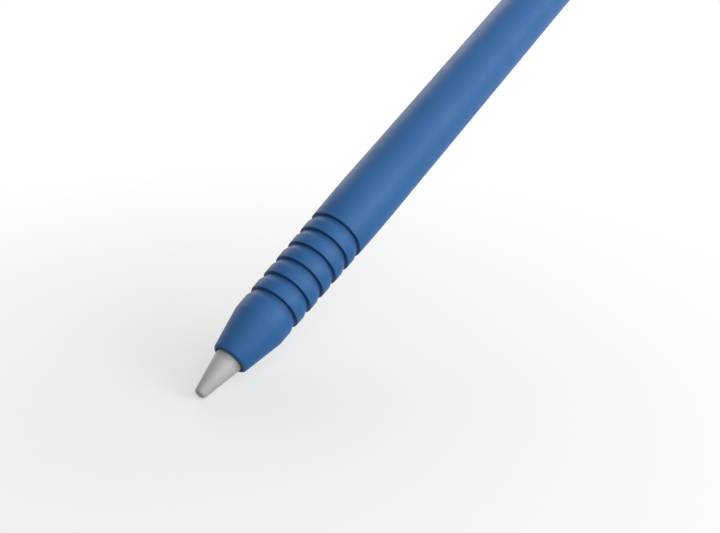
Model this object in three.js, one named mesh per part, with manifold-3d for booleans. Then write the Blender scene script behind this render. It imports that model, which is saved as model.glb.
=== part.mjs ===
// Silicone grip sleeve on an active stylus.
// Units are millimetres. The pen lies along +X with its tail at +X and rests on the floor plane z = 0.
// The origin is under the middle of its length. A station is a distance from the nib's tip, along the pen.
// The underside has a flat along the barrel and the sleeve, so the section there is a D lying on its back.

import * as THREE from 'three';
import { mergeVertices } from 'three/addons/utils/BufferGeometryUtils.js';
import Manifold from 'manifold-3d';

const wasm = await Manifold();
wasm.setup();

// Stylus barrel
const stylusLength = 172;
const barrelRadius = 4.5;
const barrelWall = 0.7;
const gripTaperLength = 31.4;
const tailRound = 3.4;
const tailCapLength = 5.6;
const tailSpigotLength = 4.2;
const tailSpigotWall = 0.8;
const tailSealThickness = 0.5;
const tailSealWidth = 0.6;
// The flat lies this much further from the axis than the ferrule's rear edge, so the ferrule stays round.
const flatRise = 0.28;

// Nib and its plunger
const nibLength = 8.7;
const nibBaseRadius = 2.73;
const nibTipFlat = 0.53;
const nibTipRound = 0.55;
const nibNeckStation = 3.1;
const nibNeckRadius = 1.6;
const insertLength = 3.0;
const insertWall = 0.35;
const threadRadius = 0.8;
const shoulderRadius = 1.9;
const shoulderThickness = 0.7;
const shaftRadius = 0.7;
const pressTravel = 0.25;

// Ferrule between nib and barrel
const ferruleLength = 5.6;
const ferruleRearRadius = 3.7;
const ferruleSpigotLength = 4.0;
const ferruleSpigotBore = 2.1;
const sealThickness = 0.6;
const electrodeSetback = 2.0;
const electrodeWidth = 1.2;
const electrodeThickness = 0.5;
const bushingLength = 3.2;

// Load cell
const bracketLength = 5.8;
const sensorPocketDepth = 3.0;
const sensorRadius = 2.3;
const sensorThickness = 1.2;
const flexWidth = 1.8;
const flexThickness = 0.15;
const flexLanding = 2.4;

// Electronics on the chassis
const chassisWall = 0.55;
const boardSetback = 2.0;
const boardLength = 40;
const boardWidth = 6.3;
const boardThickness = 0.6;
const canWidth = 4.4;
const canHeight = 1.5;
const frontCanLength = 13;
const rearCanLength = 9;
const connectorLength = 2.2;
const connectorHeight = 0.8;
const padThickness = 0.8;
const touchLength = 28;
const touchThickness = 0.15;
const touchAngle = 130;

// Magnets and charging coil
const magnetLength = 5;
const magnetWidth = 3.4;
const magnetHeight = 2.4;
const magnetSink = 0.9;
const magnetPitch = 5.5;
const coreLength = 8;
const coreWidth = 3.4;
const coreHeight = 1.0;
const coilLength = 5.6;
const coilThickness = 0.4;

// Grip sleeve
const lipOverlap = 0.8;
const lipClearance = 0.05;
const lipWall = 0.52;
const lipRound = 0.45;
const lipChamfer = 0.06;
const noseLength = 7.9;
const noseWall = 1.08;
const noseRound = 0.45;
const sleeveWall = 0.98;
const sleeveLength = 134.7;
const sleeveEdgeRound = 0.3;
const ringCount = 6;
const ringPitch = 3.7;
const landLength = 4.6;
const grooveLength = 1.7;
const grooveDepth = 0.65;
const grooveRound = 0.3;
const ringEdgeRound = 0.12;

// Clearances
const sleeveGap = 0.12;
const slipGap = 0.12;
const seatGap = 0.15;
const runningGap = 0.1;
const seamGap = 0.2;
const cutPast = 1;

// Facets round the pen, and round its small inner parts
const skinFacets = 48;
const coreFacets = 32;

// Stations that the chain of lengths gives
const ferruleFront = nibLength + pressTravel + slipGap + runningGap;
const ferruleRear = ferruleFront + ferruleLength;
const spigotRear = ferruleRear + ferruleSpigotLength;
const barrelFront = ferruleRear + seamGap;
const taperEnd = ferruleRear + gripTaperLength;
const shoulderFront = nibLength + seatGap;
const shoulderRear = shoulderFront + shoulderThickness;
const sealFront = shoulderRear + pressTravel + runningGap;
const recessFloor = sealFront + sealThickness + runningGap;
const bracketFront = spigotRear + seamGap;
const pocketFloor = bracketFront + sensorPocketDepth;
const sensorFront = pocketFloor - slipGap - sensorThickness;
const shaftRear = sensorFront - pressTravel - runningGap;
const bracketRear = bracketFront + bracketLength;
const boardFront = taperEnd + boardSetback;
const boardRear = boardFront + boardLength;
const tailCapFront = stylusLength - tailCapLength;
const tailSpigotFront = tailCapFront - tailSpigotLength;
const barrelRear = tailCapFront - seamGap;
const trayEdge = magnetPitch - magnetLength;
const coilBay = coreLength + 2 * trayEdge;
const trayRear = tailSpigotFront - 2 * seatGap;
const trayFront = trayRear - 4 * magnetPitch - coilBay - trayEdge;
const batteryFront = boardRear + padThickness + 2 * seatGap;
const batteryRear = trayFront - padThickness - 2 * seatGap;
const lipStation = nibLength - lipOverlap;
const noseEnd = lipStation + noseLength;
const sleeveRear = lipStation + sleeveLength;
const firstRing = noseEnd + landLength;

// Radii that the walls and clearances give
const boreRadius = barrelRadius - barrelWall;
const chassisRadius = boreRadius - slipGap;
const troughRadius = chassisRadius - chassisWall;
const lipBore = nibBaseRadius + lipClearance;
const lipRadius = lipBore + lipWall;
const noseBore = ferruleRearRadius + sleeveGap;
const noseRadius = noseBore + noseWall;
const sleeveBore = barrelRadius + sleeveGap;
const sleeveRadius = sleeveBore + sleeveWall;
const shaftBore = shaftRadius + runningGap;

// Distances from the axis down to the flats
const barrelFlat = ferruleRearRadius + flatRise;
const boreFlat = barrelFlat - barrelWall;
const chassisFlat = boreFlat - slipGap;
const troughFlat = chassisFlat - chassisWall;
const sleeveBoreFlat = barrelFlat + sleeveGap;
const sleeveFlat = sleeveBoreFlat + sleeveWall;

// The battery is round, so on the trough's flat floor it sits a little above the pen's axis.
const batteryRadius = Math.min(troughRadius, (troughFlat + boreRadius) / 2) - slipGap;
const batteryLift = batteryRadius + slipGap - troughFlat;

// Finishes
function finish(color, roughness, metalness = 0) {
  return new THREE.MeshStandardMaterial({ color, roughness, metalness });
}
const silicone = finish(0x2f64a0, 0.62);
const nibPlastic = finish(0xb9b9b8, 0.4);
const whitePlastic = finish(0xe9e8e4, 0.35);
const innerPlastic = finish(0x2a2b2e, 0.6);
const steel = finish(0xb4b6ba, 0.28, 1);
const brass = finish(0xb99a55, 0.32, 1);
const aluminium = finish(0xa9acb0, 0.4, 1);
const boardGreen = finish(0x1f5a3c, 0.5);
const foil = finish(0xc9a23c, 0.35, 0.6);
const foam = finish(0x3a3a3c, 0.9);
const elastomer = finish(0x222326, 0.75);
const ferrite = finish(0x45423f, 0.7);
const copper = finish(0xb06a3a, 0.35, 1);

const pen = new THREE.Group();

function add(name, geometry, material) {
  const mesh = new THREE.Mesh(geometry, material);
  mesh.name = name;
  pen.add(mesh);
  return mesh;
}

// Only positions are kept, so that vertices at seams and poles are shared.
function welded(geometry) {
  geometry.deleteAttribute('normal');
  geometry.deleteAttribute('uv');
  return mergeVertices(geometry, 1e-5);
}

// A profile is a list of [station, radius]. It runs towards the tail outside and back inside.
// The facets start half a step round, so that one facet lies flat underneath.
function revolve(profile, facets = coreFacets) {
  const points = profile.map(([station, radius]) => new THREE.Vector2(radius, station));
  const geometry = new THREE.LatheGeometry(points, facets, Math.PI / facets);
  geometry.rotateZ(-Math.PI / 2);
  return welded(geometry);
}

function tube(front, rear, outer, inner, facets = coreFacets) {
  return revolve([[front, inner], [front, outer], [rear, outer], [rear, inner], [front, inner]], facets);
}

// An outline in the pen's cross-section, [y, z], drawn out along the pen.
function drawOut(shape, front, rear, curveSegments = 12) {
  const depth = rear - front;
  const geometry = new THREE.ExtrudeGeometry(shape, { depth, bevelEnabled: false, curveSegments });
  const crossSection = new THREE.Matrix4().makeBasis(
    new THREE.Vector3(0, 1, 0),
    new THREE.Vector3(0, 0, 1),
    new THREE.Vector3(1, 0, 0),
  );
  geometry.applyMatrix4(crossSection);
  geometry.translate(front, 0, 0);
  return welded(geometry);
}

function block(front, rear, width, bottom, top) {
  const geometry = new THREE.BoxGeometry(rear - front, width, top - bottom);
  geometry.translate((front + rear) / 2, 0, (bottom + top) / 2);
  return welded(geometry);
}

// Points on a circle about [station, radius]. Degrees count from +X towards larger radii.
function arc(station, radius, size, fromDegrees, toDegrees, steps) {
  const points = [];
  for (let i = 0; i <= steps; i += 1) {
    const angle = THREE.MathUtils.degToRad(fromDegrees + ((toDegrees - fromDegrees) * i) / steps);
    points.push([station + size * Math.cos(angle), radius + size * Math.sin(angle)]);
  }
  return points;
}

function solidOf(geometry) {
  const vertProperties = new Float32Array(geometry.attributes.position.array);
  const triVerts = new Uint32Array(geometry.index.array);
  return new wasm.Manifold(new wasm.Mesh({ numProp: 3, vertProperties, triVerts }));
}

function geometryOf(solid) {
  const { vertProperties, triVerts } = solid.getMesh();
  const geometry = new THREE.BufferGeometry();
  geometry.setAttribute('position', new THREE.BufferAttribute(new Float32Array(vertProperties), 3));
  geometry.setIndex(new THREE.BufferAttribute(new Uint32Array(triVerts), 1));
  return geometry;
}

// Cuts a flat across the underside, at a distance below the axis.
function flatUnder(solid, flat) {
  const below = block(-cutPast, stylusLength + cutPast, 4 * sleeveRadius, -2 * sleeveRadius, -flat);
  return solid.subtract(solidOf(below));
}

// A solid of revolution with the flat cut across it. Its profile starts and ends on the axis.
function flatted(profile, flat) {
  return flatUnder(solidOf(revolve(profile, skinFacets)), flat);
}

function flattedBar(front, rear, radius, flat) {
  return flatted([[front, 0], [front, radius], [rear, radius], [rear, 0]], flat);
}

// Half of the D below the axis, from side to side. It is one side of an outline in the cross-section.
function addHalfRound(shape, radius, flat, backwards) {
  const down = 1.5 * Math.PI;
  const half = Math.acos(Math.min(flat / radius, 1));
  const arcs = [[Math.PI, down - half], [down + half, 2 * Math.PI]];
  if (backwards) {
    for (const [from, to] of arcs.reverse()) shape.absarc(0, 0, radius, to, from, true);
  } else {
    for (const [from, to] of arcs) shape.absarc(0, 0, radius, from, to, false);
  }
}

// The outside of the stylus: nib cone, ferrule cone, then the gentle taper of the grip zone.
function stylusRadius(station) {
  if (station < ferruleRear) {
    const rise = (ferruleRearRadius - nibBaseRadius) / (ferruleRear - nibLength);
    return nibBaseRadius + rise * (station - nibLength);
  }
  const share = Math.min((station - ferruleRear) / gripTaperLength, 1);
  return ferruleRearRadius + share * (barrelRadius - ferruleRearRadius);
}

// The outside of the sleeve over its rings and body, without the grooves.
function sleeveSkin(station) {
  const share = Math.min((station - noseEnd) / (taperEnd - noseEnd), 1);
  return noseRadius + share * (sleeveRadius - noseRadius);
}

// An edge of a profile, [station, radius], rounded over by three points. The radii on either side
// are those of the profile at the rounding's ends.
function softened(station, radius, round, radiusBefore, radiusAfter) {
  return [
    [station - round, radiusBefore],
    [station, (radiusBefore + 2 * radius + radiusAfter) / 4],
    [station + round, radiusAfter],
  ];
}

// The groove in front of a ring: the land ahead breaks off and slopes down to the groove's floor,
// and the ring's front face stands square on that floor, like the edge of a scale.
function groove(ringFront) {
  const landEnd = ringFront - grooveLength;
  const land = sleeveSkin(landEnd);
  const floor = sleeveSkin(ringFront) - grooveDepth;
  const onSlope = land + ((floor - land) * grooveRound) / grooveLength;
  const edgeRear = ringFront + ringEdgeRound;
  return [
    ...softened(landEnd, land, grooveRound, sleeveSkin(landEnd - grooveRound), onSlope),
    [ringFront, floor],
    ...arc(edgeRear, sleeveSkin(edgeRear) - ringEdgeRound, ringEdgeRound, 180, 90, 2),
  ];
}

function gripSleeve() {
  const beforeEdge = noseRadius - (noseRound * (noseRadius - lipRadius)) / noseLength;
  const roundFront = sleeveRear - sleeveEdgeRound;
  const roundRadius = sleeveRadius - sleeveEdgeRound;
  const outside = [
    [lipStation, 0],
    ...arc(lipStation + lipRound, lipRadius - lipRound, lipRound, 180, 100, 5),
    ...softened(noseEnd, noseRadius, noseRound, beforeEdge, sleeveSkin(noseEnd + noseRound)),
  ];
  for (let i = 0; i < ringCount; i += 1) outside.push(...groove(firstRing + i * ringPitch));
  outside.push([taperEnd, sleeveRadius]);
  outside.push(...arc(roundFront, roundRadius, sleeveEdgeRound, 90, 0, 3), [sleeveRear, 0]);
  const bore = [
    [lipStation - cutPast, 0],
    [lipStation - cutPast, lipBore + lipChamfer],
    [lipStation, lipBore + lipChamfer],
    [lipStation + lipChamfer, lipBore],
    [ferruleRear, noseBore],
    [taperEnd, sleeveBore],
    [roundFront, sleeveBore],
    [sleeveRear, sleeveBore + sleeveEdgeRound],
    [sleeveRear + cutPast, sleeveBore + sleeveEdgeRound],
    [sleeveRear + cutPast, 0],
  ];
  return geometryOf(flatted(outside, sleeveFlat).subtract(flatted(bore, sleeveBoreFlat)));
}

function nibShell() {
  const boreFront = nibLength - insertLength - slipGap;
  const boreWide = threadRadius + runningGap + insertWall + slipGap;
  const along = nibNeckStation - nibTipRound;
  const out = nibNeckRadius - nibTipFlat;
  const tilt = Math.atan2(out, along) - Math.asin(nibTipRound / Math.hypot(along, out));
  const roundEnd = 90 + THREE.MathUtils.radToDeg(tilt);
  return revolve([
    [0, 0],
    ...arc(nibTipRound, nibTipFlat, nibTipRound, 180, roundEnd, 6),
    [nibNeckStation, nibNeckRadius],
    [nibLength, nibBaseRadius],
    [nibLength, boreWide],
    [boreFront, boreWide],
    [boreFront - boreWide / 2, 0],
  ], skinFacets);
}

function nibInsert() {
  const front = nibLength - insertLength;
  const bore = threadRadius + runningGap;
  return tube(front, nibLength, bore + insertWall, bore);
}

function nibPost() {
  const threadFront = nibLength - insertLength + insertWall;
  return revolve([
    [threadFront, 0],
    [threadFront, threadRadius - slipGap],
    [threadFront + slipGap, threadRadius],
    [shoulderFront, threadRadius],
    [shoulderFront, shoulderRadius],
    [shoulderRear, shoulderRadius],
    [shoulderRear, shaftRadius],
    [shaftRear - shaftRadius / 2, shaftRadius],
    [shaftRear, shaftRadius / 2],
    [shaftRear, 0],
  ]);
}

function frontFerrule() {
  const recess = shoulderRadius + 2 * slipGap;
  const spigot = ferruleRearRadius - barrelWall - slipGap;
  const slotFront = ferruleFront + electrodeSetback;
  const slotRear = slotFront + electrodeWidth + 2 * runningGap;
  const slotFloor = stylusRadius(slotFront) - electrodeThickness - runningGap;
  return revolve([
    [ferruleFront, recess],
    [ferruleFront, stylusRadius(ferruleFront)],
    [slotFront, stylusRadius(slotFront)],
    [slotFront, slotFloor],
    [slotRear, slotFloor],
    [slotRear, stylusRadius(slotRear)],
    [ferruleRear, ferruleRearRadius],
    [ferruleRear, spigot],
    [spigotRear, spigot],
    [spigotRear, ferruleSpigotBore],
    [spigotRear - bushingLength - seatGap, ferruleSpigotBore],
    [spigotRear - bushingLength - seatGap, shaftBore],
    [recessFloor, shaftBore],
    [recessFloor, recess],
    [ferruleFront, recess],
  ], skinFacets);
}

function ringElectrode() {
  const front = ferruleFront + electrodeSetback + runningGap;
  const rear = front + electrodeWidth;
  const inner = stylusRadius(ferruleFront + electrodeSetback) - electrodeThickness;
  return revolve([
    [front, inner],
    [front, stylusRadius(front)],
    [rear, stylusRadius(rear)],
    [rear, inner],
    [front, inner],
  ], skinFacets);
}

function sensorBracket() {
  const outer = stylusRadius(bracketFront) - barrelWall - slipGap;
  const pocket = sensorRadius + runningGap;
  const window = flexWidth / 2 + 2 * slipGap;
  return revolve([
    [bracketFront, pocket],
    [bracketFront, outer],
    [bracketRear, outer],
    [bracketRear, window],
    [pocketFloor, window],
    [pocketFloor, pocket],
    [bracketFront, pocket],
  ]);
}

// The ribbon leaves the load cell on the pen's axis and climbs on to the board's front end.
function sensorFlex(landingHeight) {
  const start = pocketFloor - slipGap + runningGap;
  const climb = boardFront - boardSetback;
  const end = boardFront + flexLanding;
  const half = flexThickness / 2;
  const shape = new THREE.Shape([
    new THREE.Vector2(start, -half),
    new THREE.Vector2(climb, -half),
    new THREE.Vector2(boardFront, landingHeight - half),
    new THREE.Vector2(end, landingHeight - half),
    new THREE.Vector2(end, landingHeight + half),
    new THREE.Vector2(boardFront - half, landingHeight + half),
    new THREE.Vector2(climb - half, half),
    new THREE.Vector2(start, half),
  ]);
  const geometry = new THREE.ExtrudeGeometry(shape, { depth: flexWidth, bevelEnabled: false });
  geometry.rotateX(Math.PI / 2);
  geometry.translate(0, flexWidth / 2, 0);
  return welded(geometry);
}

// The bore narrows with the grip taper, so the wall stays even.
function barrelTube() {
  const frontRadius = stylusRadius(barrelFront);
  const outside = [
    [barrelFront, 0],
    [barrelFront, frontRadius],
    [taperEnd, barrelRadius],
    [barrelRear, barrelRadius],
    [barrelRear, 0],
  ];
  const bore = [
    [barrelFront - cutPast, 0],
    [barrelFront - cutPast, frontRadius - barrelWall],
    [barrelFront, frontRadius - barrelWall],
    [taperEnd, boreRadius],
    [barrelRear + cutPast, boreRadius],
    [barrelRear + cutPast, 0],
  ];
  return geometryOf(flatted(outside, barrelFlat).subtract(flatted(bore, boreFlat)));
}

// A half-round trough with a flat floor, open at its top and at both ends.
function innerChassis() {
  const shape = new THREE.Shape();
  addHalfRound(shape, chassisRadius, chassisFlat, false);
  addHalfRound(shape, troughRadius, troughFlat, true);
  return drawOut(shape, boardFront - seatGap, trayRear + seatGap);
}

function touchSensor() {
  const outer = boreRadius - slipGap;
  const half = THREE.MathUtils.degToRad(touchAngle / 2);
  const shape = new THREE.Shape();
  shape.absarc(0, 0, outer, Math.PI / 2 - half, Math.PI / 2 + half, false);
  shape.absarc(0, 0, outer - touchThickness, Math.PI / 2 + half, Math.PI / 2 - half, true);
  return drawOut(shape, boardFront + boardSetback, boardFront + boardSetback + touchLength, 16);
}

// A pressed can, open towards the board.
function shieldCan(front, length, bottom) {
  const rear = front + length;
  const top = bottom + canHeight;
  const wall = touchThickness;
  const body = solidOf(block(front, rear, canWidth, bottom, top));
  const inside = block(front + wall, rear - wall, canWidth - 2 * wall, bottom - cutPast, top - wall);
  return geometryOf(body.subtract(solidOf(inside)));
}

// A pocket for a block that stands in the tray, open at the tray's top.
function trayPocket(front, length, width, depth) {
  const rear = front + length + runningGap;
  return solidOf(block(front - runningGap, rear, width + 2 * runningGap, -depth - runningGap, cutPast));
}

// The half-round tray fills the trough behind the battery and has a pocket for each magnet and the coil.
function magnetTray(magnetFronts, coreFront) {
  const shape = new THREE.Shape();
  addHalfRound(shape, troughRadius - slipGap, troughFlat - slipGap, false);
  let tray = solidOf(drawOut(shape, trayFront, trayRear));
  for (const front of magnetFronts) {
    tray = tray.subtract(trayPocket(front, magnetLength, magnetWidth, magnetSink));
  }
  const coilWidth = coreWidth + 2 * coilThickness + 2 * runningGap;
  const coilDepth = coreHeight / 2 + coilThickness + 2 * runningGap;
  const coilFront = coreFront + (coreLength - coilLength) / 2;
  tray = tray.subtract(trayPocket(coilFront, coilLength, coilWidth, coilDepth));
  return geometryOf(tray.subtract(trayPocket(coreFront, coreLength, coreWidth, coreHeight / 2)));
}

function chargeCoil(coreFront) {
  const front = coreFront + (coreLength - coilLength) / 2;
  const rear = front + coilLength;
  const innerWidth = coreWidth + 2 * runningGap;
  const innerHalf = coreHeight / 2 + runningGap;
  const outerHalf = innerHalf + coilThickness;
  const winding = solidOf(block(front, rear, innerWidth + 2 * coilThickness, -outerHalf, outerHalf));
  const core = solidOf(block(front - cutPast, rear + cutPast, innerWidth, -innerHalf, innerHalf));
  return geometryOf(winding.subtract(core));
}

// The cap's spigot is a D like the barrel's bore, with a groove round it for the seal.
function tailCap() {
  const spigot = boreRadius - slipGap;
  const grooveBottom = tailSealThickness + runningGap;
  const grooveHalf = tailSealWidth / 2 + runningGap;
  const middle = (tailSpigotFront + tailCapFront) / 2;
  const hollow = chassisFlat - grooveBottom - tailSpigotWall;
  const cap = flatted([
    [tailCapFront, 0],
    [tailCapFront, barrelRadius],
    ...arc(stylusLength - tailRound, barrelRadius - tailRound, tailRound, 90, 0, 6),
    [stylusLength, 0],
  ], barrelFlat);
  const plug = flattedBar(tailSpigotFront, tailCapFront + tailSpigotWall, spigot, chassisFlat);
  const outOfGroove = flattedBar(middle - grooveHalf, middle + grooveHalf, barrelRadius, barrelFlat);
  const grooveFloor = flattedBar(middle - grooveHalf - cutPast, middle + grooveHalf + cutPast,
    spigot - grooveBottom, chassisFlat - grooveBottom);
  const inside = solidOf(revolve([
    [tailSpigotFront - cutPast, 0],
    [tailSpigotFront - cutPast, hollow],
    [tailCapFront, hollow],
    [tailCapFront, 0],
  ], skinFacets));
  return geometryOf(cap.add(plug).subtract(outOfGroove.subtract(grooveFloor)).subtract(inside));
}

function tailSeal() {
  const middle = (tailSpigotFront + tailCapFront) / 2;
  const front = middle - tailSealWidth / 2;
  const rear = middle + tailSealWidth / 2;
  const outer = boreRadius - slipGap;
  const inner = outer - tailSealThickness;
  const hole = flattedBar(front - cutPast, rear + cutPast, inner, chassisFlat - tailSealThickness);
  return geometryOf(flattedBar(front, rear, outer, chassisFlat).subtract(hole));
}

// Nib and load cell
add('nib_shell', nibShell(), nibPlastic);
add('nib_insert', nibInsert(), brass);
add('nib_post', nibPost(), steel);
const shaftSeal = tube(sealFront, sealFront + sealThickness, shoulderRadius, shaftRadius + slipGap);
add('shaft_seal', shaftSeal, elastomer);
add('front_ferrule', frontFerrule(), whitePlastic);
add('ring_electrode', ringElectrode(), steel);
const bushing = tube(spigotRear - bushingLength, spigotRear, ferruleSpigotBore - slipGap, shaftBore);
add('shaft_bushing', bushing, brass);
add('sensor_bracket', sensorBracket(), aluminium);
const sensor = revolve([
  [sensorFront, 0],
  [sensorFront, sensorRadius],
  [sensorFront + sensorThickness, sensorRadius],
  [sensorFront + sensorThickness, 0],
]);
add('force_sensor', sensor, steel);

// Barrel and its ends
add('barrel_tube', barrelTube(), whitePlastic);
add('tail_cap', tailCap(), whitePlastic);
add('tail_seal', tailSeal(), elastomer);

// Board, battery and touch film
const boardBottom = slipGap;
const boardTop = boardBottom + boardThickness;
const onBoard = boardTop + runningGap;
const flexConnectorFront = boardFront + flexLanding + slipGap;
const frontCanFront = flexConnectorFront + connectorLength + seamGap;
const batteryConnectorFront = boardRear - connectorLength - seamGap;
const rearCanFront = batteryConnectorFront - rearCanLength - seamGap;
add('inner_chassis', innerChassis(), aluminium);
add('logic_board', block(boardFront, boardRear, boardWidth, boardBottom, boardTop), boardGreen);
add('sensor_flex', sensorFlex(onBoard + flexThickness / 2), foil);
function connector(front) {
  return block(front, front + connectorLength, canWidth, onBoard, onBoard + connectorHeight);
}
add('flex_connector', connector(flexConnectorFront), innerPlastic);
add('battery_connector', connector(batteryConnectorFront), innerPlastic);
add('shield_can_front', shieldCan(frontCanFront, frontCanLength, onBoard), steel);
add('shield_can_rear', shieldCan(rearCanFront, rearCanLength, onBoard), steel);
add('touch_sensor', touchSensor(), foil);
function disc(front, rear) {
  const geometry = revolve([[front, 0], [front, batteryRadius], [rear, batteryRadius], [rear, 0]]);
  geometry.translate(0, 0, batteryLift);
  return geometry;
}
add('battery_pad_front', disc(boardRear + seatGap, boardRear + seatGap + padThickness), foam);
add('battery_cell', disc(batteryFront, batteryRear), foil);
add('battery_pad_rear', disc(batteryRear + seatGap, trayFront - seatGap), foam);

// Magnets stand in two pairs, with the charging coil between the pairs.
const coreFront = trayFront + trayEdge + 2 * magnetPitch + trayEdge;
const rearPair = coreFront + coreLength + 2 * trayEdge;
const magnetFronts = [
  trayFront + trayEdge,
  trayFront + trayEdge + magnetPitch,
  rearPair,
  rearPair + magnetPitch,
];
add('magnet_tray', magnetTray(magnetFronts, coreFront), innerPlastic);
magnetFronts.forEach((front, i) => {
  const magnet = block(front, front + magnetLength, magnetWidth, -magnetSink, magnetHeight - magnetSink);
  add(`magnet_${i + 1}`, magnet, steel);
});
const core = block(coreFront, coreFront + coreLength, coreWidth, -coreHeight / 2, coreHeight / 2);
add('coil_core', core, ferrite);
add('charge_coil', chargeCoil(coreFront), copper);

// Sleeve
add('grip_sleeve', gripSleeve(), silicone);

pen.position.set(-stylusLength / 2, 0, sleeveFlat);

const model = new THREE.Group();
model.add(pen);
export default model;
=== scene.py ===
import math

import bmesh
import bpy
from mathutils import Matrix, Vector


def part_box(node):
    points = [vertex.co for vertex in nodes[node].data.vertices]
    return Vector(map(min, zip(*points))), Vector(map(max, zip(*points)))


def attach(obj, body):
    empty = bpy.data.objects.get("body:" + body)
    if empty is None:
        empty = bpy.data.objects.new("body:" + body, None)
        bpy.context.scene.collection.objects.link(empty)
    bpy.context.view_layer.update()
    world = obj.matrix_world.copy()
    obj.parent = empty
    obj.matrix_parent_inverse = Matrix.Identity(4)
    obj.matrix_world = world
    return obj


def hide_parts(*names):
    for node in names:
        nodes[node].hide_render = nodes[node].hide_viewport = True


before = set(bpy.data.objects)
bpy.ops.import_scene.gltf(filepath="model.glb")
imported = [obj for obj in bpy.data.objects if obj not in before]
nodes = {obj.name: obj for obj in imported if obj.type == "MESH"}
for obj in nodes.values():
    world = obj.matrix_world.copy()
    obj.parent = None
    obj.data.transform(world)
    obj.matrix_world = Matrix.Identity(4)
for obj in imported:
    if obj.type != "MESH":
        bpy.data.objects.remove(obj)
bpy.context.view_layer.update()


# Barrel
# The stylus barrel is a thin tube, moulded in polished white plastic that handling has dulled a
# little. It tapers under the grip. A flat runs along its underside, where the magnets and the
# charging coil sit close to the skin.

# Places in the frame are in metres. The pen's own sizes are in millimetres, and its stations are
# distances from the nib's tip along the axis.
tip_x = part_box("nib_shell")[0].x
axis_height = (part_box("force_sensor")[0].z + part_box("force_sensor")[1].z) / 2
flat_depth = (axis_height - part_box("barrel_tube")[0].z) * 1000
crease_angle = math.radians(35)


def at(station):
    """The place in the frame of a station."""
    return tip_x + station / 1000


def station_of(x):
    """The station of a place in the frame."""
    return (x - tip_x) * 1000


def between(value, low, high):
    """How far a value lies on the way from low to high, from 0 to 1."""
    return min(max((value - low) / (high - low), 0), 1)


def turned(section, steps=128):
    """Draws half a section beside the pen's axis, rounds its corners and spins it round.

    A corner is (station, radius) or (station, radius, rounding). A larger rounding has more steps.
    """
    mesh = bmesh.new()
    corners = [mesh.verts.new((at(c[0]), 0, axis_height + c[1] / 1000)) for c in section]
    pairs = list(zip(corners, corners[1:]))
    if section[0][1] > 0:
        pairs.append((corners[-1], corners[0]))
    for pair in pairs:
        mesh.edges.new(pair)
    roundings = sorted({c[2] for c in section if len(c) > 2})
    for rounding in roundings:
        picked = [v for v, c in zip(corners, section) if len(c) > 2 and c[2] == rounding]
        bmesh.ops.bevel(
            mesh, geom=picked, offset=rounding / 1000, offset_type="OFFSET",
            segments=2 + round(4 * min(rounding, 3)), profile=0.5, affect="VERTICES", material=-1,
        )
    bmesh.ops.spin(
        mesh, geom=mesh.verts[:] + mesh.edges[:], cent=(0, 0, axis_height), axis=(1, 0, 0),
        angle=math.tau, steps=steps, use_merge=True,
    )
    bmesh.ops.remove_doubles(mesh, verts=mesh.verts, dist=2e-7)
    bmesh.ops.recalc_face_normals(mesh, faces=mesh.faces)
    return mesh


def press_flat(mesh, depth_at, softness):
    """Presses the underside up to a flat, and keeps the edge where it meets the round soft.

    depth_at gives the flat's depth below the axis at a station and a radius.
    """
    soft = softness / 1000
    for v in mesh.verts:
        radius = math.hypot(v.co.y, v.co.z - axis_height) * 1000
        low = axis_height - depth_at(station_of(v.co.x), radius) / 1000
        above = v.co.z - low
        if above < soft:
            near = max(soft - abs(above), 0) / soft
            v.co.z = low + max(above, 0) + near * near * soft / 4


def object_of(mesh, name, material):
    """Turns a mesh into an object of one material."""
    data = bpy.data.meshes.new(name)
    mesh.to_mesh(data)
    mesh.free()
    data.materials.append(material)
    made = bpy.data.objects.new(name, data)
    bpy.context.collection.objects.link(made)
    return made


def finished_piece(mesh, name, body, replaced, material):
    """Smooths the faces, with creases only at real corners, hangs the piece on its body and hides
    the part it replaces.
    """
    for face in mesh.faces:
        face.smooth = True
    for edge in mesh.edges:
        if len(edge.link_faces) == 2:
            edge.smooth = edge.calc_face_angle() < crease_angle
    piece = object_of(mesh, name, material)
    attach(piece, body)
    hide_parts(replaced)


def new_material(name, colour, roughness, metallic=0.0):
    """A material, with its nodes, its shader and the object's own coordinates."""
    material = bpy.data.materials.new(name)
    material.use_nodes = True
    tree = material.node_tree
    shader = tree.nodes["Principled BSDF"]
    shader.inputs["Base Color"].default_value = (*colour, 1)
    shader.inputs["Roughness"].default_value = roughness
    shader.inputs["Metallic"].default_value = metallic
    place = tree.nodes.new("ShaderNodeTexCoord")
    return material, tree, shader, place.outputs["Object"]


def stretched(tree, place, scale):
    """The object's coordinates, stretched so that a pattern runs along or round the pen."""
    mapping = tree.nodes.new("ShaderNodeMapping")
    mapping.inputs["Location"].default_value = (0, 0, -axis_height * scale[2])
    mapping.inputs["Scale"].default_value = scale
    tree.links.new(place, mapping.inputs["Vector"])
    return mapping.outputs["Vector"]


def pattern(tree, place, kind, settings):
    """A texture on the given coordinates, with its settings by the names of its sockets."""
    texture = tree.nodes.new(kind)
    for socket, setting in settings.items():
        texture.inputs[socket].default_value = setting
    tree.links.new(place, texture.inputs["Vector"])
    return texture


def grain(tree, place, scale, detail=3.0):
    """A cloudy pattern."""
    settings = {"Scale": scale, "Detail": detail, "Roughness": 0.55}
    return pattern(tree, place, "ShaderNodeTexNoise", settings).outputs["Fac"]


def spread(tree, value, low, high, from_low=0.3, from_high=0.7):
    """Turns the range of a pattern into another range."""
    node = tree.nodes.new("ShaderNodeMapRange")
    node.inputs["From Min"].default_value = from_low
    node.inputs["From Max"].default_value = from_high
    node.inputs["To Min"].default_value = low
    node.inputs["To Max"].default_value = high
    tree.links.new(value, node.inputs["Value"])
    return node.outputs["Result"]


def roughened(tree, value, shader, low, high):
    """Makes the surface smoother and rougher by a pattern."""
    tree.links.new(spread(tree, value, low, high), shader.inputs["Roughness"])


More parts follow.
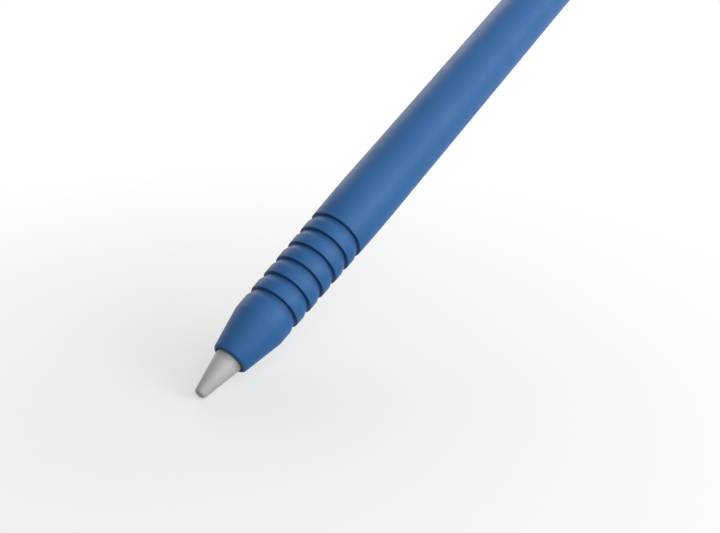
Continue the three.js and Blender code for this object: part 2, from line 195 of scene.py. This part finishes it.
def tinted(tree, value, shader, colours, stops=(0.3, 0.7)):
    """Colours the surface between two near shades by a pattern."""
    ramp = tree.nodes.new("ShaderNodeValToRGB")
    for element, stop, colour in zip(ramp.color_ramp.elements, stops, colours):
        element.position = stop
        element.color = (*colour, 1)
    tree.links.new(value, ramp.inputs["Fac"])
    tree.links.new(ramp.outputs["Color"], shader.inputs["Base Color"])
    return ramp.outputs["Color"]


def relief(tree, value, shader, strength, height):
    """Raises a pattern off the surface, by a height in metres."""
    bump = tree.nodes.new("ShaderNodeBump")
    bump.inputs["Strength"].default_value = strength
    bump.inputs["Distance"].default_value = height
    tree.links.new(value, bump.inputs["Height"])
    tree.links.new(bump.outputs["Normal"], shader.inputs["Normal"])


white_plastic, tree, shader, place = new_material("polished_white_plastic", (0.80, 0.79, 0.76), 0.34)
tinted(tree, grain(tree, place, 120, 2), shader, ((0.78, 0.77, 0.74), (0.82, 0.81, 0.785)))
handled = grain(tree, stretched(tree, place, (60, 500, 500)), 1, 4)
roughened(tree, handled, shader, 0.28, 0.4)
relief(tree, grain(tree, place, 900, 2), shader, 0.12, 0.00004)
shader.inputs["Specular IOR Level"].default_value = 0.4
shader.inputs["Coat Weight"].default_value = 0.1
shader.inputs["Coat Roughness"].default_value = 0.2

seam_gap = 0.2
ferrule_rear = 14.77
ferrule_radius = 3.7
barrel_front = ferrule_rear + seam_gap
barrel_rear = 166.2
barrel_radius = 4.5
barrel_wall = 0.7
barrel_bore = barrel_radius - barrel_wall
taper_length = 31.4
taper_end = ferrule_rear + taper_length
taper_bend = 1.5
fine_edge = 0.08
flat_softness = 0.25


def stylus_radius(station):
    share = between(station, ferrule_rear, taper_end)
    return ferrule_radius + share * (barrel_radius - ferrule_radius)


def barrel_flat(station, radius):
    """The flat is pressed into the skin, and the bore follows it one wall higher."""
    inwards = between(stylus_radius(station) - radius, 0, barrel_wall)
    return flat_depth - inwards * barrel_wall


front_radius = stylus_radius(barrel_front)
tube = turned([
    (barrel_front, front_radius - barrel_wall),
    (barrel_front, front_radius, fine_edge),
    (taper_end, barrel_radius, taper_bend),
    (barrel_rear, barrel_radius, fine_edge),
    (barrel_rear, barrel_bore),
    (taper_end, barrel_bore),
])
press_flat(tube, barrel_flat, flat_softness)
finished_piece(tube, "barrel", "stylus", "barrel_tube", white_plastic)


# Tail cap
# The rounded end of the barrel is a separate solid moulding of the same white plastic. Its spigot
# is pushed into the barrel up to a fine seam, and has a groove for a rubber seal. The seal on the
# plunger's shaft is of the same black rubber.

slip_gap = 0.12
tail_end = 172.0
dome_rounding = 3.4
cap_front = barrel_rear + seam_gap
spigot_length = 4.2
spigot_front = cap_front - spigot_length
spigot_radius = barrel_bore - slip_gap
lead_in = 0.2
seal_middle = (spigot_front + cap_front) / 2
seal_groove_width = 0.8
seal_groove_depth = 0.6
seal_groove_front = seal_middle - seal_groove_width / 2
seal_groove_rear = seal_middle + seal_groove_width / 2
seal_groove_floor = spigot_radius - seal_groove_depth
margin = 0.05


def cap_flat(station, radius):
    """The spigot's flat lies inside the barrel's bore, and the groove's floor follows it."""
    if radius > barrel_bore or station > cap_front + margin:
        return flat_depth
    spigot_flat = flat_depth - barrel_wall - slip_gap
    along_groove = seal_groove_front - margin < station < seal_groove_rear + margin
    if along_groove and radius < seal_groove_floor + margin:
        return spigot_flat - seal_groove_depth
    return spigot_flat


cap = turned([
    (spigot_front, 0),
    (spigot_front, spigot_radius, lead_in),
    (seal_groove_front, spigot_radius),
    (seal_groove_front, seal_groove_floor),
    (seal_groove_rear, seal_groove_floor),
    (seal_groove_rear, spigot_radius),
    (cap_front, spigot_radius),
    (cap_front, barrel_radius, fine_edge),
    (tail_end, barrel_radius, dome_rounding),
    (tail_end, 0),
])
press_flat(cap, cap_flat, flat_softness)
finished_piece(cap, "tail_end", "stylus", "tail_cap", white_plastic)

black_rubber, tree, shader, place = new_material("black_rubber", (0.02, 0.02, 0.021), 0.6)
tinted(tree, grain(tree, place, 700), shader, ((0.016, 0.016, 0.017), (0.03, 0.03, 0.031)))
relief(tree, grain(tree, place, 9000), shader, 0.3, 0.00002)


def dress(material, *names):
    """Gives their finish to solids that are shown as they are."""
    for name in names:
        for material_slot in nodes[name].material_slots:
            material_slot.material = material


dress(black_rubber, "tail_seal", "shaft_seal")


# Ferrule and ring electrode
# A white moulded cone carries the barrel's line down to the nib. It is pressed into the barrel
# and has a groove with a bright steel band, which senses the pen's tilt.
# Both are hidden by the sleeve until the stylus is drawn out of it.

nib_length = 8.7
nib_base_radius = 2.73
ferrule_front = 9.17
ferrule_spigot_length = 4.0
ferrule_spigot_rear = ferrule_rear + ferrule_spigot_length
ferrule_spigot_radius = ferrule_radius - barrel_wall - slip_gap
shoulder_bore = 2.14
shoulder_bore_rear = 10.6
shaft_bore = 0.8
bushing_seat = 15.42
bushing_bore = 2.1
electrode_setback = 2.0
electrode_width = 1.2
electrode_gap = 0.1
slot_front = ferrule_front + electrode_setback
slot_rear = slot_front + electrode_width + 2 * electrode_gap
slot_floor = 2.53
slot_edge = 0.04
seam_edge = 0.06
soft_edge = 0.1


def cone_radius(station):
    share = between(station, nib_length, ferrule_rear)
    return nib_base_radius + share * (ferrule_radius - nib_base_radius)


ferrule = turned([
    (ferrule_front, shoulder_bore, fine_edge),
    (ferrule_front, cone_radius(ferrule_front), soft_edge),
    (slot_front, cone_radius(slot_front), slot_edge),
    (slot_front, slot_floor),
    (slot_rear, slot_floor),
    (slot_rear, cone_radius(slot_rear), slot_edge),
    (ferrule_rear, ferrule_radius, seam_edge),
    (ferrule_rear, ferrule_spigot_radius),
    (ferrule_spigot_rear, ferrule_spigot_radius, lead_in),
    (ferrule_spigot_rear, bushing_bore),
    (bushing_seat, bushing_bore),
    (bushing_seat, shaft_bore),
    (shoulder_bore_rear, shaft_bore),
    (shoulder_bore_rear, shoulder_bore),
])
finished_piece(ferrule, "ferrule", "stylus", "front_ferrule", white_plastic)

turned_steel, tree, shader, place = new_material("turned_steel", (0.60, 0.61, 0.62), 0.27, 1.0)
tinted(tree, grain(tree, place, 300), shader, ((0.56, 0.57, 0.58), (0.64, 0.65, 0.66)))
lathe_marks = grain(tree, stretched(tree, place, (14000, 300, 300)), 1, 2)
roughened(tree, lathe_marks, shader, 0.2, 0.36)
relief(tree, lathe_marks, shader, 0.25, 0.000008)

band_front = slot_front + electrode_gap
band_rear = slot_rear - electrode_gap
band_bore = slot_floor + electrode_gap
band = turned([
    (band_front, band_bore),
    (band_front, cone_radius(band_front), soft_edge),
    (band_rear, cone_radius(band_rear), soft_edge),
    (band_rear, band_bore),
])
finished_piece(band, "tilt_electrode", "stylus", "ring_electrode", turned_steel)


# Load cell and what joins it
# The nib's plunger runs in a brass bushing and presses a steel load cell, which an aluminium
# bracket holds in the barrel. An amber film circuit leads from the cell to the board, and another
# lies under the barrel's upper wall.

turned_brass, tree, shader, place = new_material("turned_brass", (0.55, 0.40, 0.12), 0.3, 1.0)
tinted(tree, grain(tree, place, 400), shader, ((0.50, 0.35, 0.10), (0.60, 0.45, 0.15)))
brass_marks = grain(tree, stretched(tree, place, (12000, 300, 300)), 1, 2)
roughened(tree, brass_marks, shader, 0.22, 0.4)
relief(tree, brass_marks, shader, 0.25, 0.000008)
dress(turned_brass, "shaft_bushing")

drawn_aluminium, tree, shader, place = new_material("drawn_aluminium", (0.60, 0.61, 0.62), 0.35, 1.0)
tinted(tree, grain(tree, place, 250), shader, ((0.56, 0.57, 0.58), (0.63, 0.64, 0.65)))
draw_marks = grain(tree, stretched(tree, place, (90, 5000, 5000)), 1, 3)
roughened(tree, draw_marks, shader, 0.26, 0.46)
relief(tree, draw_marks, shader, 0.3, 0.00001)
dress(drawn_aluminium, "sensor_bracket", "inner_chassis")

dress(turned_steel, "force_sensor")

amber_film, tree, shader, place = new_material("amber_film", (0.45, 0.28, 0.06), 0.3)
film_tracks = pattern(tree, place, "ShaderNodeTexWave", {"Scale": 700, "Distortion": 0.4})
film_tracks.bands_direction = "Y"
track_lines = film_tracks.outputs["Fac"]
tinted(tree, track_lines, shader, ((0.36, 0.20, 0.04), (0.55, 0.34, 0.09)), (0.35, 0.6))
relief(tree, track_lines, shader, 0.3, 0.00001)
roughened(tree, grain(tree, place, 1500), shader, 0.24, 0.38)
dress(amber_film, "sensor_flex", "touch_sensor")


# Board, cans and connectors
# A slim green circuit board lies on the chassis. Pressed steel cans cover its radio and its
# charger, and a black connector at each end takes the film circuit and the battery's lead.

solder_mask, tree, shader, place = new_material("green_solder_mask", (0.02, 0.12, 0.06), 0.35)
board_tracks = pattern(tree, place, "ShaderNodeTexBrick", {
    "Scale": 420,
    "Mortar Size": 0.03,
    "Color1": (0.018, 0.11, 0.055, 1),
    "Color2": (0.022, 0.13, 0.065, 1),
    "Mortar": (0.05, 0.20, 0.10, 1),
})
tree.links.new(board_tracks.outputs["Color"], shader.inputs["Base Color"])
roughened(tree, grain(tree, place, 900), shader, 0.28, 0.42)
relief(tree, board_tracks.outputs["Fac"], shader, 0.3, 0.00002)
dress(solder_mask, "logic_board")

pressed_steel, tree, shader, place = new_material("pressed_steel", (0.58, 0.585, 0.59), 0.36, 1.0)
tinted(tree, grain(tree, place, 350), shader, ((0.53, 0.535, 0.54), (0.62, 0.625, 0.63)))
roll_marks = grain(tree, stretched(tree, place, (120, 6000, 6000)), 1, 3)
roughened(tree, roll_marks, shader, 0.28, 0.46)
relief(tree, grain(tree, place, 600), shader, 0.15, 0.00003)
dress(pressed_steel, "shield_can_front", "shield_can_rear")

black_moulding, tree, shader, place = new_material("black_moulding", (0.03, 0.03, 0.035), 0.5)
tinted(tree, grain(tree, place, 500), shader, ((0.025, 0.025, 0.029), (0.042, 0.042, 0.048)))
roughened(tree, grain(tree, place, 2500), shader, 0.42, 0.58)
relief(tree, grain(tree, place, 8000), shader, 0.25, 0.00001)
dress(black_moulding, "flex_connector", "battery_connector", "magnet_tray")


# Battery
# A round lithium cell in a crinkled foil sleeve lies in the chassis trough.
# A pad of dark grey foam at each end keeps it from rattling.

cell_foil, tree, shader, place = new_material("cell_foil", (0.50, 0.50, 0.52), 0.35, 1.0)
tinted(tree, grain(tree, place, 500), shader, ((0.44, 0.44, 0.46), (0.56, 0.56, 0.58)))
crinkle = grain(tree, stretched(tree, place, (400, 1500, 1500)), 1, 5)
roughened(tree, crinkle, shader, 0.28, 0.46)
relief(tree, crinkle, shader, 0.4, 0.00004)
dress(cell_foil, "battery_cell")

grey_foam, tree, shader, place = new_material("grey_foam", (0.05, 0.05, 0.05), 0.9)
pores = pattern(tree, place, "ShaderNodeTexVoronoi", {"Scale": 5000}).outputs["Distance"]
tinted(tree, pores, shader, ((0.02, 0.02, 0.02), (0.075, 0.075, 0.078)), (0.05, 0.6))
relief(tree, pores, shader, 0.6, 0.00006)
dress(grey_foam, "battery_pad_front", "battery_pad_rear")


# Magnets and charging coil
# Four nickel-plated bar magnets hold the pen on its charger. Between the pairs, fine copper
# wire is wound on a ferrite bar. All of them stand in a black moulded tray behind the battery.

nickel, tree, shader, place = new_material("nickel_plate", (0.60, 0.60, 0.60), 0.16, 1.0)
tinted(tree, grain(tree, place, 400), shader, ((0.57, 0.565, 0.555), (0.63, 0.63, 0.625)))
roughened(tree, grain(tree, place, 2500), shader, 0.12, 0.24)
relief(tree, grain(tree, place, 1200), shader, 0.08, 0.00003)
dress(nickel, "magnet_1", "magnet_2", "magnet_3", "magnet_4")

ferrite, tree, shader, place = new_material("sintered_ferrite", (0.06, 0.055, 0.05), 0.65)
tinted(tree, grain(tree, place, 6000), shader, ((0.045, 0.042, 0.039), (0.085, 0.08, 0.073)))
relief(tree, grain(tree, place, 7000), shader, 0.4, 0.00003)
roughened(tree, grain(tree, place, 3000), shader, 0.55, 0.75)
dress(ferrite, "coil_core")

copper_wire, tree, shader, place = new_material("enamelled_copper_wire", (0.5, 0.22, 0.1), 0.3, 1.0)
winding = pattern(tree, place, "ShaderNodeTexWave", {"Scale": 1500, "Distortion": 0.2})
winding.bands_direction = "X"
wires = winding.outputs["Fac"]
tinted(tree, wires, shader, ((0.25, 0.09, 0.035), (0.58, 0.27, 0.12)), (0.1, 0.7))
relief(tree, wires, shader, 0.8, 0.00008)
roughened(tree, grain(tree, place, 2000), shader, 0.24, 0.4)
dress(copper_wire, "charge_coil")


# Plunger
# A turned steel post passes the nib's force to the load cell. Its front carries a fine thread
# of half a millimetre pitch for the nib, and the shoulder behind it stops the nib.

thread_front = 6.05
thread_core = 0.58
thread_point = 0.15
thread_pitch = 0.5
thread_turns = 4.6
thread_setback = 0.12
steps_per_turn = 32
tooth_foot_radius = 0.54
tooth_foot_half = 0.22
tooth_crest_radius = 0.78
tooth_crest_half = 0.04
shoulder_front = 8.85
shoulder_rear = 9.55
shoulder_radius = 1.9
shoulder_edge = 0.12
shaft_radius = 0.7
shaft_edge = 0.3
shaft_rear = station_of(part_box("nib_post")[1].x)

post = turned([
    (thread_front, 0),
    (thread_front, thread_core, thread_point),
    (shoulder_front, thread_core),
    (shoulder_front, shoulder_radius, shoulder_edge),
    (shoulder_rear, shoulder_radius, shoulder_edge),
    (shoulder_rear, shaft_radius),
    (shaft_rear, shaft_radius, shaft_edge),
    (shaft_rear, 0),
], 64)

# The thread's tooth is drawn once and swept round the core. Its foot is sunk in the core.
ridge = bmesh.new()
tooth_outline = (
    (-tooth_foot_half, tooth_foot_radius),
    (-tooth_crest_half, tooth_crest_radius),
    (tooth_crest_half, tooth_crest_radius),
    (tooth_foot_half, tooth_foot_radius),
)
tooth = [
    ridge.verts.new((at(thread_front + thread_setback + along), 0, axis_height + radius / 1000))
    for along, radius in tooth_outline
]
tooth_face = ridge.faces.new(tooth)
bmesh.ops.spin(
    ridge, geom=[tooth_face, *tooth_face.edges, *tooth], cent=(0, 0, axis_height), axis=(1, 0, 0),
    dvec=(thread_pitch / 1000 / steps_per_turn, 0, 0), angle=math.tau * thread_turns,
    steps=round(steps_per_turn * thread_turns), use_merge=False,
)
bmesh.ops.recalc_face_normals(ridge, faces=ridge.faces)
ridge_data = bpy.data.meshes.new("ridge")
ridge.to_mesh(ridge_data)
ridge.free()
post.from_mesh(ridge_data)
bpy.data.meshes.remove(ridge_data)
finished_piece(post, "threaded_plunger", "plunger", "nib_post", turned_steel)


# Nib insert
# A turned brass bush is moulded into the back of the nib and screws onto the plunger. Its own
# thread would hardly show, so its bore is drawn plain, just clear of the plunger's thread.

insert_front = 5.7
insert_bore = 0.9
insert_radius = 1.25
insert_rear_edge = 0.05
insert_mouth = 0.12

insert = turned([
    (insert_front, insert_bore, fine_edge),
    (insert_front, insert_radius, fine_edge),
    (nib_length, insert_radius, insert_rear_edge),
    (nib_length, insert_bore, insert_mouth),
], 64)
finished_piece(insert, "threaded_bush", "nib_thread", "nib_insert", turned_brass)


# Nib
# The nib is a wearing part, moulded in a satin light grey plastic that slides on glass. It is a
# straight cone with a blunt rounded tip. Its colour darkens towards the sleeve's lip, and that band
# is a painted shadow of the lip.

nib_tip_radius = 0.98
nib_tip_rounding = 0.55
pocket_radius = insert_radius + slip_gap
pocket_front = insert_front - slip_gap
pocket_point = 4.9
lip_overlap = 0.8
lip_front = nib_length - lip_overlap
lip_shadow_length = 1.4
lip_shadow_front = lip_front - lip_shadow_length
lip_shadow_share = 0.48


def darkened(tree, colour, share, shader):
    """Scales the surface's colour by a share that changes from place to place."""
    scaled = tree.nodes.new("ShaderNodeVectorMath")
    scaled.operation = "SCALE"
    tree.links.new(colour, scaled.inputs[0])
    tree.links.new(share, scaled.inputs["Scale"])
    tree.links.new(scaled.outputs["Vector"], shader.inputs["Base Color"])


nib_plastic, tree, shader, place = new_material("satin_nib_plastic", (0.54, 0.54, 0.545), 0.42)
nib_grain = grain(tree, place, 350)
nib_tint = tinted(tree, nib_grain, shader, ((0.525, 0.525, 0.53), (0.555, 0.555, 0.56)))
along_nib = tree.nodes.new("ShaderNodeSeparateXYZ")
tree.links.new(place, along_nib.inputs[0])
# Painted shadow of the sleeve's lip: the colour darkens over the last stretch before the lip.
painted_lip_shadow = spread(tree, along_nib.outputs["X"], 1, lip_shadow_share, at(lip_shadow_front), at(lip_front))
darkened(tree, nib_tint, painted_lip_shadow, shader)
roughened(tree, grain(tree, place, 2600), shader, 0.38, 0.5)
relief(tree, grain(tree, place, 11000, 2), shader, 0.1, 0.00001)

nib = turned([
    (0, 0),
    (0, nib_tip_radius, nib_tip_rounding),
    (nib_length, nib_base_radius, soft_edge),
    (nib_length, pocket_radius),
    (pocket_front, pocket_radius),
    (pocket_point, 0),
])
finished_piece(nib, "nib", "nib", "nib_shell", nib_plastic)


# Grip sleeve
# The sleeve is one moulding of soft blue silicone, stretched over the stylus. A thin lip and a cone
# lead to six stepped rings that overlap like scales: each land slopes down to the next ring's square
# front face. It is matt, with a faint bloom. Its colour is darkened down into the grooves, and that
# darkening is painted shade.

lip_bore = 2.78
lip_flare = 0.04
lip_flare_length = 0.1
lip_inner_edge = 0.06
lip_radius = 3.3
lip_rounding = 0.45
nose_length = 7.9
nose_end = lip_front + nose_length
nose_radius = 4.9
nose_bend = 0.15
nose_bore = ferrule_radius + slip_gap
nose_bore_bend = 1
sleeve_wall = 0.98
sleeve_bore = barrel_radius + slip_gap
sleeve_radius = sleeve_bore + sleeve_wall
sleeve_bend = 2
sleeve_rear = 142.6
rear_rounding = 0.3
first_ring = 20.33
ring_pitch = 3.69
ring_count = 6
ring_edge = 0.12
groove_length = 1.7
groove_depth = 0.65
groove_edge = 0.06
land_edge = 0.1
deepest_painted_shade = 0.7
full_shade_share = 0.6
sleeve_flat_depth = (axis_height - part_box("grip_sleeve")[0].z) * 1000
sleeve_flat_softness = 0.3


def sleeve_skin(station):
    share = between(station, nose_end, taper_end)
    return nose_radius + share * (sleeve_radius - nose_radius)


def sleeve_flat(station, radius):
    """The flat is pressed into the skin, and the bore follows it one wall higher."""
    inwards = between(sleeve_skin(station) - radius, 0, sleeve_wall)
    return sleeve_flat_depth - inwards * sleeve_wall


half_section = [
    (lip_front, lip_bore + lip_flare, lip_inner_edge),
    (lip_front, lip_radius, lip_rounding),
    (nose_end, nose_radius, nose_bend),
]
for i in range(ring_count):
    ring_front = first_ring + i * ring_pitch
    land_end = ring_front - groove_length
    half_section += [
        (land_end, sleeve_skin(land_end), land_edge),
        (ring_front, sleeve_skin(ring_front) - groove_depth, groove_edge),
        (ring_front, sleeve_skin(ring_front), ring_edge),
    ]
half_section += [
    (taper_end, sleeve_radius, sleeve_bend),
    (sleeve_rear, sleeve_radius, rear_rounding),
    (sleeve_rear, sleeve_bore, rear_rounding),
    (taper_end, sleeve_bore, sleeve_bend),
    (ferrule_rear, nose_bore, nose_bore_bend),
    (lip_front + lip_flare_length, lip_bore, lip_inner_edge),
]
sleeve = turned(half_section, 160)

# Each vertex keeps how far down in a groove it lies, from 0 to 1, and the colour is darkened by it
# as painted shade. The nose has no groove, and the bore lies deeper than any groove, so both keep 0.
painted_shade_layer = sleeve.verts.layers.float.new("groove")
deepest_groove = groove_depth + 0.01
for v in sleeve.verts:
    station = station_of(v.co.x)
    depth = sleeve_skin(station) - math.hypot(v.co.y, v.co.z - axis_height) * 1000
    if station > nose_end and depth < deepest_groove:
        v[painted_shade_layer] = max(depth, 0) / groove_depth
press_flat(sleeve, sleeve_flat, sleeve_flat_softness)

silicone, tree, shader, place = new_material("blue_silicone", (0.026, 0.134, 0.361), 0.55)
bloom = grain(tree, place, 160)
skin_tint = tinted(tree, bloom, shader, ((0.024, 0.129, 0.352), (0.028, 0.139, 0.370)))
# Painted shade: the colour is scaled down towards the bottom of each groove.
in_groove = tree.nodes.new("ShaderNodeAttribute")
in_groove.attribute_name = "groove"
painted_groove_shade = spread(tree, in_groove.outputs["Fac"], 1, deepest_painted_shade, 0, full_shade_share)
darkened(tree, skin_tint, painted_groove_shade, shader)
roughened(tree, grain(tree, place, 420, 4), shader, 0.45, 0.57)
relief(tree, grain(tree, place, 14000, 2), shader, 0.12, 0.00001)
shader.inputs["Specular IOR Level"].default_value = 0.3
shader.inputs["Sheen Weight"].default_value = 0.02
shader.inputs["Sheen Roughness"].default_value = 0.4

finished_piece(sleeve, "sleeve", "sleeve", "grip_sleeve", silicone)


# Floor, light and camera
# The pen leans with its tip on a plain white floor, which fades into a white surround. Five soft
# boxes and a weak white room light it: three stand on the camera's side of the pen, two beyond it.

lean = math.radians(26.15)
floor_up = Vector((math.sin(lean), 0, math.cos(lean)))
floor_along = Vector((math.cos(lean), 0, -math.sin(lean)))
floor_side = Vector((0, 1, 0))
floor_reach = 2.0
fade_at_contact = 0.5
fade_reach = 0.12
dull_grey = (0.3, 0.3, 0.3, 1)
plain_white = (1, 1, 1, 1)

# The tip's rounding has its middle this far below the axis, and rests on the floor.
rounding_below_axis = 0.53
rounding_middle = Vector((at(nib_tip_rounding), 0, axis_height - rounding_below_axis / 1000))
contact = rounding_middle - nib_tip_rounding / 1000 * floor_up


def from_contact(along, side, up):
    """A place in the room: along the floor under the pen, to the pen's far side, and up."""
    return contact + along * floor_along + side * floor_side + up * floor_up


def looking(direction, up):
    """The turn of a camera or lamp that looks in a direction."""
    right = direction.cross(up).normalized()
    true_up = right.cross(direction).normalized()
    return Matrix((right, true_up, -direction)).transposed().to_euler()


def mixed(tree, share, first, second):
    """Goes from one finish or light to another by a share."""
    mix = tree.nodes.new("ShaderNodeMixShader")
    tree.links.new(share, mix.inputs["Fac"])
    tree.links.new(first, mix.inputs[1])
    tree.links.new(second, mix.inputs[2])
    return mix.outputs["Shader"]


def worked_out(tree, operation, first, second):
    """Works one number out of two."""
    node = tree.nodes.new("ShaderNodeMath")
    node.operation = operation
    tree.links.new(first, node.inputs[0])
    tree.links.new(second, node.inputs[1])
    return node.outputs["Value"]


floor_white, tree, shader, place = new_material("white_floor", (0.93, 0.93, 0.93), 0.6)
shader.inputs["Specular IOR Level"].default_value = 0.2
floor_white.cycles.emission_sampling = "NONE"
ray = tree.nodes.new("ShaderNodeLightPath")

# Away from the pen the floor turns into the plain white of the surround.
surround = tree.nodes.new("ShaderNodeEmission")
surround.inputs["Color"].default_value = plain_white
distance = tree.nodes.new("ShaderNodeVectorMath")
distance.operation = "DISTANCE"
distance.inputs[1].default_value = contact
tree.links.new(place, distance.inputs[0])
fade = spread(tree, distance.outputs["Value"], fade_at_contact, 1, 0, fade_reach)
faded = mixed(tree, fade, shader.outputs["BSDF"], surround.outputs["Emission"])

# It lights the pen only weakly from below.
dull = tree.nodes.new("ShaderNodeBsdfDiffuse")
dull.inputs["Color"].default_value = dull_grey
calm = mixed(tree, ray.outputs["Is Diffuse Ray"], faded, dull.outputs["BSDF"])

# A camera below the floor looks through it.
underside = tree.nodes.new("ShaderNodeNewGeometry")
from_below = worked_out(
    tree, "MULTIPLY", underside.outputs["Backfacing"], ray.outputs["Is Camera Ray"],
)
clear = tree.nodes.new("ShaderNodeBsdfTransparent")
whole = mixed(tree, from_below, calm, clear.outputs["BSDF"])
tree.links.new(whole, tree.nodes["Material Output"].inputs["Surface"])

floor_mesh = bmesh.new()
bmesh.ops.create_grid(floor_mesh, x_segments=1, y_segments=1, size=floor_reach)
lie = Matrix((floor_along, floor_side, floor_up)).transposed().to_4x4()
bmesh.ops.transform(floor_mesh, matrix=Matrix.Translation(contact) @ lie, verts=floor_mesh.verts)
floor = object_of(floor_mesh, "floor", floor_white)

# The room lights the pen weakly. The camera, reflections and clear pieces see it plain white.
world = bpy.data.worlds.new("studio")
bpy.context.scene.world = world
world.use_nodes = True
sky = world.node_tree
room_light = sky.nodes["Background"]
room_light.inputs["Color"].default_value = plain_white
room_light.inputs["Strength"].default_value = 0.2
white_room = sky.nodes.new("ShaderNodeBackground")
white_room.inputs["Color"].default_value = plain_white
white_room.inputs["Strength"].default_value = 1
sky_ray = sky.nodes.new("ShaderNodeLightPath").outputs
mirrored = worked_out(sky, "MAXIMUM", sky_ray["Is Glossy Ray"], sky_ray["Is Transmission Ray"])
seen = worked_out(sky, "MAXIMUM", sky_ray["Is Camera Ray"], mirrored)
either = mixed(sky, seen, room_light.outputs["Background"], white_room.outputs["Background"])
sky.links.new(either, sky.nodes["World Output"].inputs["Surface"])

lamp_aim = from_contact(0.05, 0, 0.02)


def softbox(name, stand, size, power):
    """A square soft lamp that looks at the pen just behind its rings, in metres and watts."""
    data = bpy.data.lights.new(name, "AREA")
    data.size = size
    data.energy = power
    lamp = bpy.data.objects.new(name, data)
    bpy.context.collection.objects.link(lamp)
    lamp.location = stand
    lamp.rotation_euler = looking((lamp_aim - stand).normalized(), floor_along)


softbox("key_softbox", from_contact(0.12, -0.47, 0.17), 0.2, 0.95)
softbox("tail_softbox", from_contact(0.331, -0.346, 0.241), 0.2, 0.4)
softbox("top_softbox", from_contact(-0.03, -0.345, 0.378), 0.4, 0.92)
softbox("rim_softbox", from_contact(0.26, 0.18, 0.17), 0.12, 0.09)
softbox("back_softbox", from_contact(0.195, 0.4, 0.17), 0.3, 0.4)

scene = bpy.context.scene
scene.view_settings.view_transform = "Standard"

heading = math.radians(38.8)
down = math.radians(23.93)
level = math.cos(heading) * floor_along + math.sin(heading) * floor_side
view_direction = math.cos(down) * level - math.sin(down) * floor_up
camera_data = bpy.data.cameras.new("camera")
camera_data.lens = 50
camera_data.sensor_width = 36
camera_data.clip_start = 0.005
camera_data.clip_end = 20
camera = bpy.data.objects.new("camera", camera_data)
bpy.context.collection.objects.link(camera)
camera.location = from_contact(-0.09358, -0.10831, 0.08592)
camera.rotation_euler = looking(view_direction, floor_up)
scene.camera = camera
